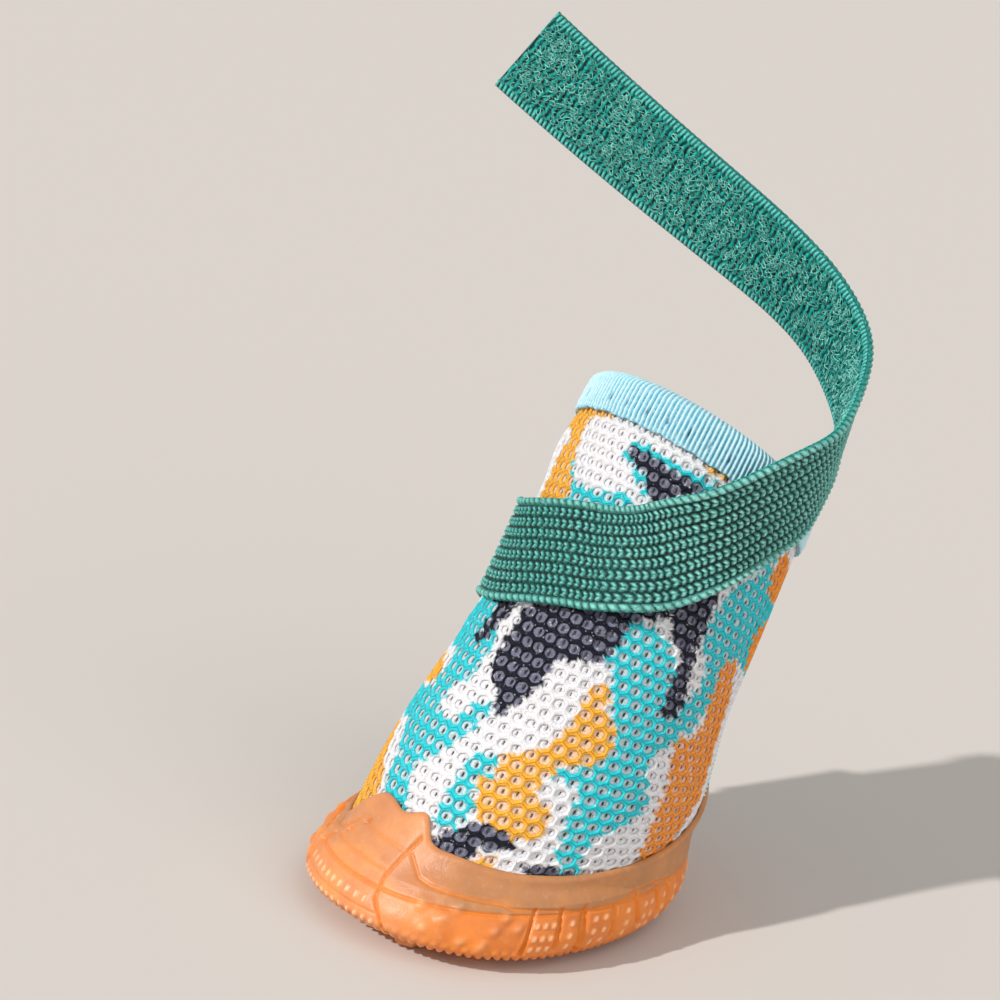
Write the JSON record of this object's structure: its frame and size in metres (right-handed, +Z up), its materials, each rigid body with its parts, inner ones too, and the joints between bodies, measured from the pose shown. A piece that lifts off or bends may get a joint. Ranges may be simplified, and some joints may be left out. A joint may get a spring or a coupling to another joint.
{
  "type": "dog boot",
  "caption": "Small dog boot: hollow mesh leg sleeve, moulded rubber cupsole with toe cap and treaded base, collar binding, insole and a long webbing ankle strap.",
  "frame": {"origin": "on the bottom face of the tread's middle lug, in the plane the sole rests on, under the middle of the sole's length", "axes": "+Z up out of the sole's resting plane, toe towards -Y, leg leaning back towards +Y, +X the boot's own left side"},
  "size_m": [0.073, 0.0784, 0.1176],
  "materials": {
    "sole_rubber": "semi-matt gum rubber, slightly translucent",
    "upper_mesh": "printed air mesh in turquoise, white, orange and navy blotches over a pale lining",
    "binding_knit": "ribbed light blue thread",
    "insole_foam": "matt fabric on thin foam",
    "strap_webbing": "ribbed teal webbing, fine loop pile on its inner face"
  },
  "bodies": {
    "root": {"cup_sole": "sole_rubber", "upper": "upper_mesh", "collar_binding": "binding_knit", "insole": "insole_foam", "strap": "strap_webbing"}
  },
  "joints": []
}
